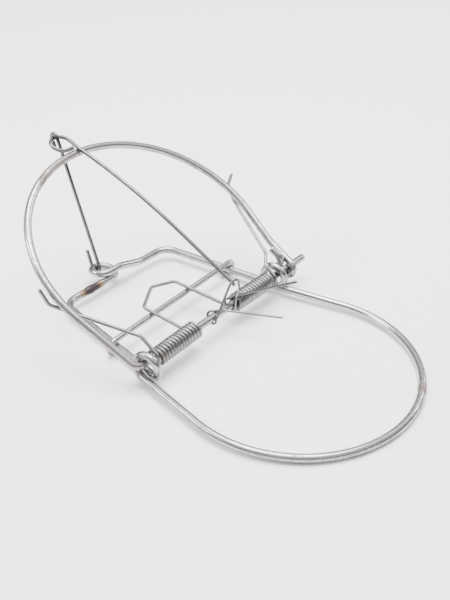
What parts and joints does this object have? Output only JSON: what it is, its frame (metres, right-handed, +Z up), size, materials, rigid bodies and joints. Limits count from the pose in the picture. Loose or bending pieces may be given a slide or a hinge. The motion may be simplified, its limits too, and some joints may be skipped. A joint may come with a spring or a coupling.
{
  "type": "snap mouse trap",
  "caption": "All-wire snap mouse trap, set: round front hoop, larger jaw held open by a bowed lever and link, double torsion spring, and a thin two-pronged trigger.",
  "frame": {"origin": "on the floor, below the middle of the axle", "axes": "+X along the axle towards its cut end, +Y from the front hoop to the back bar, +Z up"},
  "size_m": [0.1161, 0.176, 0.0655],
  "materials": {
    "bright_steel": "bright drawn wire, slightly soiled",
    "spring_steel": "darker oil-tempered spring wire",
    "grey_wire": "dull grey wire"
  },
  "bodies": {
    "base": {"base_frame": "bright_steel", "cross_bar": "bright_steel", "spring_coil_left": "spring_steel", "spring_coil_right": "spring_steel", "spring_bail": "spring_steel"},
    "jaw": {"jaw_hoop": "bright_steel", "spring_arm_left": "spring_steel", "spring_arm_right": "spring_steel"},
    "trigger": {"trigger": "grey_wire"},
    "link": {"link_rod": "grey_wire"},
    "lever": {"lever_rod": "grey_wire"}
  },
  "joints": [
    {"name": "jaw_pivot", "type": "hinge", "parent": "base", "child": "jaw", "pos_m": [0, -0.00014, 0.00952], "axis": [1, 0, 0], "range_deg": [0, 150]},
    {"name": "trigger_pivot", "type": "hinge", "parent": "base", "child": "trigger", "pos_m": [0, -0.00014, 0.00952], "axis": [1, 0, 0], "range_deg": [0, 14]},
    {"name": "link_hinge", "type": "hinge", "parent": "base", "child": "link", "pos_m": [-0.0035, 0.06794, 0.00679], "axis": [1, 0, 0], "range_deg": [-56, 0]},
    {"name": "lever_hinge", "type": "hinge", "parent": "link", "child": "lever", "pos_m": [-0.0035, 0.08501, 0.0629], "axis": [1, 0, 0], "range_deg": [-157, 0]}
  ],
  "couplings": [
    {"joint": "link_hinge", "follows": "jaw_pivot", "ratio": -0.368},
    {"joint": "lever_hinge", "follows": "jaw_pivot", "ratio": -1.04}
  ]
}
